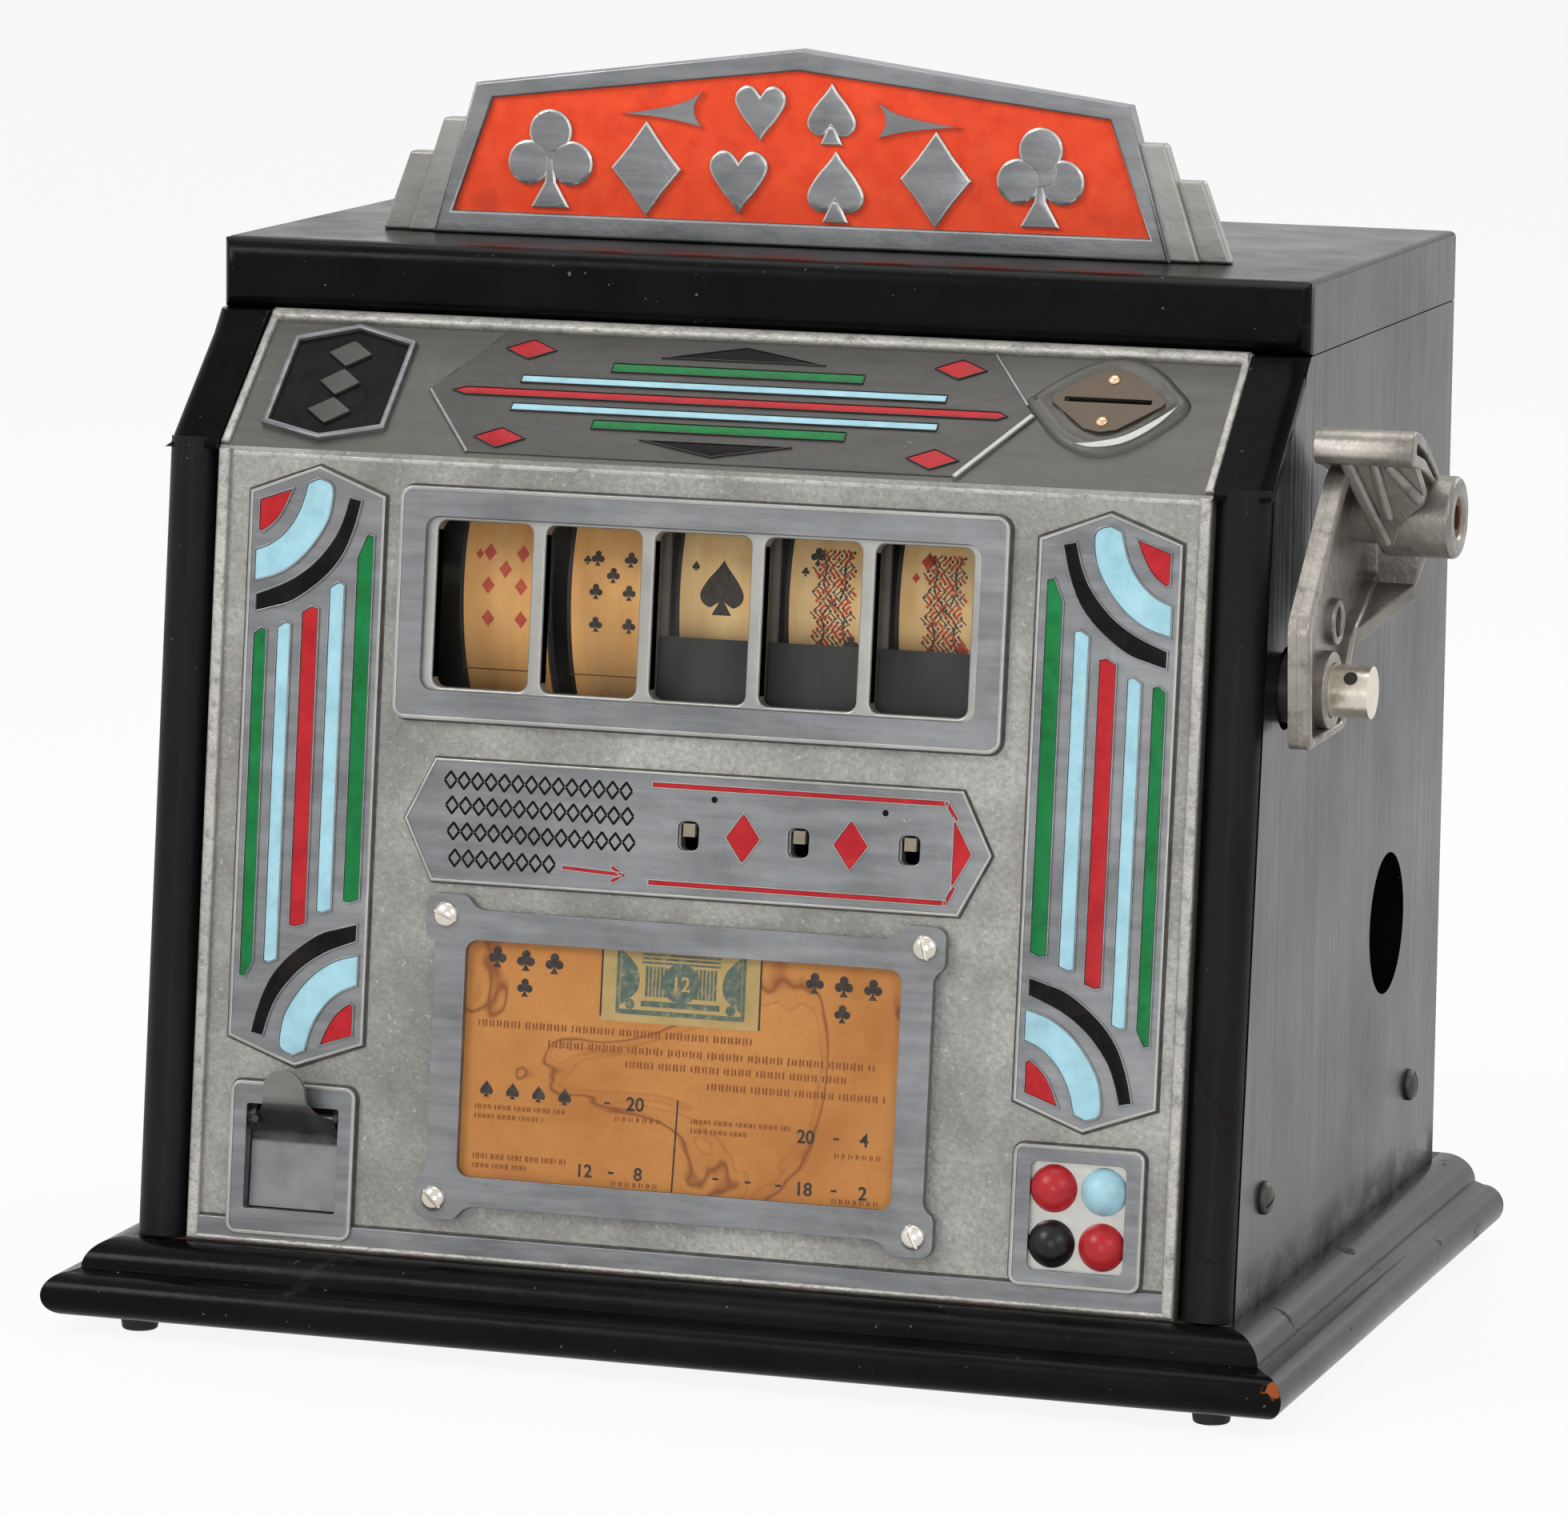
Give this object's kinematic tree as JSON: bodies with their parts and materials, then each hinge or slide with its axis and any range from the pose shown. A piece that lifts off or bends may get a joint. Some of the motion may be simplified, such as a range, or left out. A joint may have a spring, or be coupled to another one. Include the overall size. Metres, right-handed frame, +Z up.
{
  "type": "trade stimulator",
  "caption": "Countertop amusement machine: wooden cabinet with cast front, card reels behind windows, shutters with press levers, gum cup with flap and side handle.",
  "frame": {"origin": "on the counter that the feet stand on, at the middle of the cabinet's width and of the base's depth", "axes": "+X to the player's right, where the handle is; +Y to the back, where the door is; +Z up"},
  "size_m": [0.3145, 0.222, 0.2985],
  "materials": {
    "black_lacquer": "black gloss lacquer on wood, worn and scratched",
    "inner_wood": "bare softwood",
    "black_rubber": "matt",
    "brass": "dull brass",
    "worn_brass": "brown, tarnished",
    "bright_steel": "plain steel",
    "zinc_steel": "zinc-plated, dull",
    "dark_steel": "dark grey enamel",
    "plated_sheet": "dull nickel plate",
    "cast_aluminium": "satin casting with enamel fillings",
    "glass": "clear",
    "card": "printed card, yellowed"
  },
  "bodies": {
    "cabinet": {"bottom_board": "inner_wood", "base_moulding_front": "black_lacquer", "base_moulding_left": "black_lacquer", "base_moulding_right": "black_lacquer", "side_board_left": "black_lacquer", "side_board_right": "black_lacquer", "top_board": "black_lacquer", "cabinet_battens": "inner_wood", "feet": "black_rubber", "hinge_leaves_fixed": "brass", "wood_screws": "bright_steel", "front_panel": "cast_aluminium", "window_glass": "glass", "card_frame": "cast_aluminium", "award_card": "card", "card_frame_screws": "bright_steel", "coin_plate": "worn_brass", "coin_plate_rivets": "worn_brass", "marquee": "cast_aluminium", "gum_cup": "plated_sheet", "flap_pin": "bright_steel", "mech_plate_left": "zinc_steel", "mech_plate_right": "zinc_steel", "tie_rods": "bright_steel", "reel_shaft": "bright_steel", "handle_bushing": "zinc_steel", "shutter_guides": "zinc_steel", "coin_chute": "zinc_steel", "cash_box": "zinc_steel", "gum_hopper": "zinc_steel", "handle_spring": "bright_steel"},
    "door": {"rear_door": "black_lacquer", "hinge_leaves_door": "brass", "door_lock": "bright_steel"},
    "lock_cam": {"lock_cam": "brass"},
    "handle": {"handle_shaft": "bright_steel", "handle_crank": "zinc_steel", "handle_arm": "cast_aluminium"},
    "drive_link": {"drive_link": "zinc_steel"},
    "cross_shaft": {"cross_shaft": "bright_steel", "rocker_arm": "zinc_steel", "gum_wheel": "zinc_steel"},
    "stop_pawls": {"stop_pawls": "zinc_steel"},
    "cup_flap": {"cup_flap": "plated_sheet"},
    "reel_1": {"reel_wheel_1": "zinc_steel", "reel_strip_1": "card"},
    "reel_2": {"reel_wheel_2": "zinc_steel", "reel_strip_2": "card"},
    "reel_3": {"reel_wheel_3": "zinc_steel", "reel_strip_3": "card"},
    "reel_4": {"reel_wheel_4": "zinc_steel", "reel_strip_4": "card"},
    "reel_5": {"reel_wheel_5": "zinc_steel", "reel_strip_5": "card"},
    "shutter_1": {"shutter_1": "dark_steel"},
    "lever_1": {"lever_1": "worn_brass"},
    "shutter_2": {"shutter_2": "dark_steel"},
    "lever_2": {"lever_2": "worn_brass"},
    "shutter_3": {"shutter_3": "dark_steel"},
    "lever_3": {"lever_3": "worn_brass"}
  },
  "joints": [
    {"name": "handle_turn", "type": "hinge", "parent": "cabinet", "child": "handle", "pos_m": [0.133, -0.05515, 0.16135], "axis": [1, 0, 0], "range_deg": [0, 60], "stiffness_Nm_per_rad": 0.6, "springref_deg": -20.05, "deforming": ["handle_spring"]},
    {"name": "link_pivot", "type": "hinge", "parent": "handle", "child": "drive_link", "pos_m": [0.1085, -0.03957, 0.15235], "axis": [1, 0, 0], "range_deg": [-60, 0]},
    {"name": "cross_shaft_turn", "type": "hinge", "parent": "cabinet", "child": "cross_shaft", "pos_m": [0, -0.05515, 0.10335], "axis": [1, 0, 0], "range_deg": [0, 60]},
    {"name": "pawl_lift", "type": "hinge", "parent": "cabinet", "child": "stop_pawls", "pos_m": [0, 0.02177, 0.13835], "axis": [1, 0, 0], "range_deg": [0, 10]},
    {"name": "reel_1_spin", "type": "hinge", "parent": "cabinet", "child": "reel_1", "pos_m": [-0.053, -0.01923, 0.17135], "axis": [1, 0, 0], "continuous": true},
    {"name": "reel_2_spin", "type": "hinge", "parent": "cabinet", "child": "reel_2", "pos_m": [-0.0265, -0.01923, 0.17135], "axis": [1, 0, 0], "continuous": true},
    {"name": "reel_3_spin", "type": "hinge", "parent": "cabinet", "child": "reel_3", "pos_m": [0, -0.01923, 0.17135], "axis": [1, 0, 0], "continuous": true},
    {"name": "reel_4_spin", "type": "hinge", "parent": "cabinet", "child": "reel_4", "pos_m": [0.0265, -0.01923, 0.17135], "axis": [1, 0, 0], "continuous": true},
    {"name": "reel_5_spin", "type": "hinge", "parent": "cabinet", "child": "reel_5", "pos_m": [0.053, -0.01923, 0.17135], "axis": [1, 0, 0], "continuous": true},
    {"name": "shutter_1_slide", "type": "slide", "parent": "cabinet", "child": "shutter_1", "axis": [0, 0.1075, 0.9942], "range_m": [0, 0.0245]},
    {"name": "shutter_2_slide", "type": "slide", "parent": "cabinet", "child": "shutter_2", "axis": [0, 0.1075, 0.9942], "range_m": [0, 0.0245]},
    {"name": "shutter_3_slide", "type": "slide", "parent": "cabinet", "child": "shutter_3", "axis": [0, 0.1075, 0.9942], "range_m": [0, 0.0245]},
    {"name": "lever_1_press", "type": "hinge", "parent": "cabinet", "child": "lever_1", "pos_m": [0, -0.05802, 0.1218], "axis": [1, 0, 0], "range_deg": [0, 6], "stiffness_Nm_per_rad": 0.5, "springref_deg": -2.86},
    {"name": "lever_2_press", "type": "hinge", "parent": "cabinet", "child": "lever_2", "pos_m": [0.0265, -0.05802, 0.1218], "axis": [1, 0, 0], "range_deg": [0, 6], "stiffness_Nm_per_rad": 0.5, "springref_deg": -2.86},
    {"name": "lever_3_press", "type": "hinge", "parent": "cabinet", "child": "lever_3", "pos_m": [0.053, -0.05802, 0.1218], "axis": [1, 0, 0], "range_deg": [0, 6], "stiffness_Nm_per_rad": 0.5, "springref_deg": -2.86},
    {"name": "flap_swing", "type": "hinge", "parent": "cabinet", "child": "cup_flap", "pos_m": [-0.0942, -0.08799, 0.05154], "axis": [-1, 0, 0], "range_deg": [0, 25]},
    {"name": "door_swing", "type": "hinge", "parent": "cabinet", "child": "door", "pos_m": [-0.1195, 0.1054, 0.12825], "axis": [0, 0, 1], "range_deg": [0, 110]},
    {"name": "lock_turn", "type": "hinge", "parent": "door", "child": "lock_cam", "pos_m": [0.1, 0.082, 0.12825], "axis": [0, 1, 0], "range_deg": [0, 90]}
  ],
  "couplings": [
    {"joint": "link_pivot", "follows": "handle_turn", "ratio": -1},
    {"joint": "cross_shaft_turn", "follows": "handle_turn", "ratio": 1},
    {"joint": "pawl_lift", "follows": "handle_turn", "ratio": 0.1666}
  ]
}
